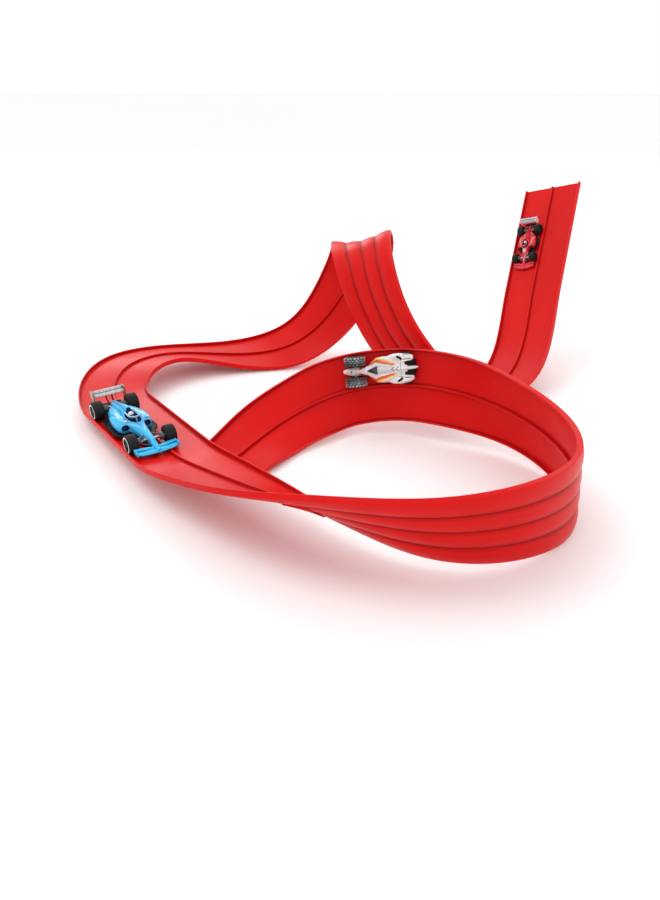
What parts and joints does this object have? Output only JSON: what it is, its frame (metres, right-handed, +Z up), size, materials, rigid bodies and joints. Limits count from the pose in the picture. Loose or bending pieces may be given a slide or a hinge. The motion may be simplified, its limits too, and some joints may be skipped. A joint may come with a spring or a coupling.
{
  "type": "two-lane flexible toy race track set",
  "caption": "Flexible two-lane red plastic track bent into a drop, twisted loop, left turn and banked ring, with small free-rolling cars.",
  "frame": {"origin": "middle of the footprint, on the floor", "axes": "+Z up, +Y away from the viewer along the longest extent, +X to the right"},
  "size_m": [0.657, 0.6827, 0.2332],
  "materials": {
    "track_red": "satin, flexible",
    "red_paint": "gloss",
    "blue_paint": "gloss",
    "white_paint": "gloss",
    "black_plastic": "matt",
    "wing_silver": "silver plated",
    "helmet_white": "gloss",
    "canopy_dark": "gloss",
    "tyre_black": "matt",
    "white_front_tyre": "worn grey",
    "axle_steel": "bright"
  },
  "bodies": {
    "track": {"track_1": "track_red", "track_2": "track_red", "track_3": "track_red", "track_4": "track_red", "track_5": "track_red", "track_6": "track_red", "joiner_1": "track_red", "joiner_2": "track_red", "joiner_3": "track_red", "joiner_4": "track_red", "joiner_5": "track_red"},
    "red_car": {"red_floor": "black_plastic", "red_shell": "red_paint", "red_front_wing": "red_paint", "red_rear_wing": "wing_silver", "red_driver": "helmet_white", "red_halo": "red_paint"},
    "red_front_wheels": {"red_front_axle": "axle_steel", "red_front_left_wheel": "tyre_black", "red_front_right_wheel": "tyre_black"},
    "red_rear_wheels": {"red_rear_axle": "axle_steel", "red_rear_left_wheel": "tyre_black", "red_rear_right_wheel": "tyre_black"},
    "blue_car": {"blue_floor": "black_plastic", "blue_shell": "blue_paint", "blue_front_wing": "blue_paint", "blue_rear_wing": "wing_silver", "blue_driver": "helmet_white", "blue_halo": "blue_paint"},
    "blue_front_wheels": {"blue_front_axle": "axle_steel", "blue_front_left_wheel": "tyre_black", "blue_front_right_wheel": "tyre_black"},
    "blue_rear_wheels": {"blue_rear_axle": "axle_steel", "blue_rear_left_wheel": "tyre_black", "blue_rear_right_wheel": "tyre_black"},
    "white_car": {"white_floor": "black_plastic", "white_shell": "white_paint", "white_canopy": "canopy_dark", "white_exhaust_left": "black_plastic", "white_exhaust_right": "black_plastic"},
    "white_front_wheels": {"white_front_axle": "axle_steel", "white_front_left_wheel": "white_front_tyre", "white_front_right_wheel": "white_front_tyre"},
    "white_rear_wheels": {"white_rear_axle": "axle_steel", "white_rear_left_wheel": "tyre_black", "white_rear_right_wheel": "tyre_black"}
  },
  "joints": [
    {"name": "red_travel", "type": "slide", "parent": "track", "child": "red_car", "axis": [-0.231, -0.6031, -0.7635], "range_m": [-0.05, 0.032]},
    {"name": "blue_travel", "type": "slide", "parent": "track", "child": "blue_car", "axis": [0.541, -0.8402, 0.0382], "range_m": [-0.016, 0.02]},
    {"name": "white_travel", "type": "hinge", "parent": "track", "child": "white_car", "pos_m": [0.018, -0.178, 0.0419], "axis": [-0.179, -0.28, 0.9431], "range_deg": [-8, 5]},
    {"name": "red_front_spin", "type": "hinge", "parent": "red_car", "child": "red_front_wheels", "pos_m": [0.25298, 0.25704, 0.1352], "axis": [0.7497, -0.6105, 0.2555], "continuous": true},
    {"name": "red_rear_spin", "type": "hinge", "parent": "red_car", "child": "red_rear_wheels", "pos_m": [0.26252, 0.28237, 0.16773], "axis": [0.7497, -0.6105, 0.2555], "continuous": true},
    {"name": "blue_front_spin", "type": "hinge", "parent": "blue_car", "child": "blue_front_wheels", "pos_m": [-0.20561, -0.12294, 0.03606], "axis": [0.8395, 0.5422, 0.0357], "continuous": true},
    {"name": "blue_rear_spin", "type": "hinge", "parent": "blue_car", "child": "blue_rear_wheels", "pos_m": [-0.26525, -0.03035, 0.03243], "axis": [0.8395, 0.5422, 0.0357], "continuous": true},
    {"name": "white_front_spin", "type": "hinge", "parent": "white_car", "child": "white_front_wheels", "pos_m": [0.00881, -0.02511, 0.07234], "axis": [0.093, -0.2832, -0.9545], "continuous": true},
    {"name": "white_rear_spin", "type": "hinge", "parent": "white_car", "child": "white_rear_wheels", "pos_m": [0.06448, -0.02909, 0.07895], "axis": [0.093, -0.2832, -0.9545], "continuous": true}
  ]
}
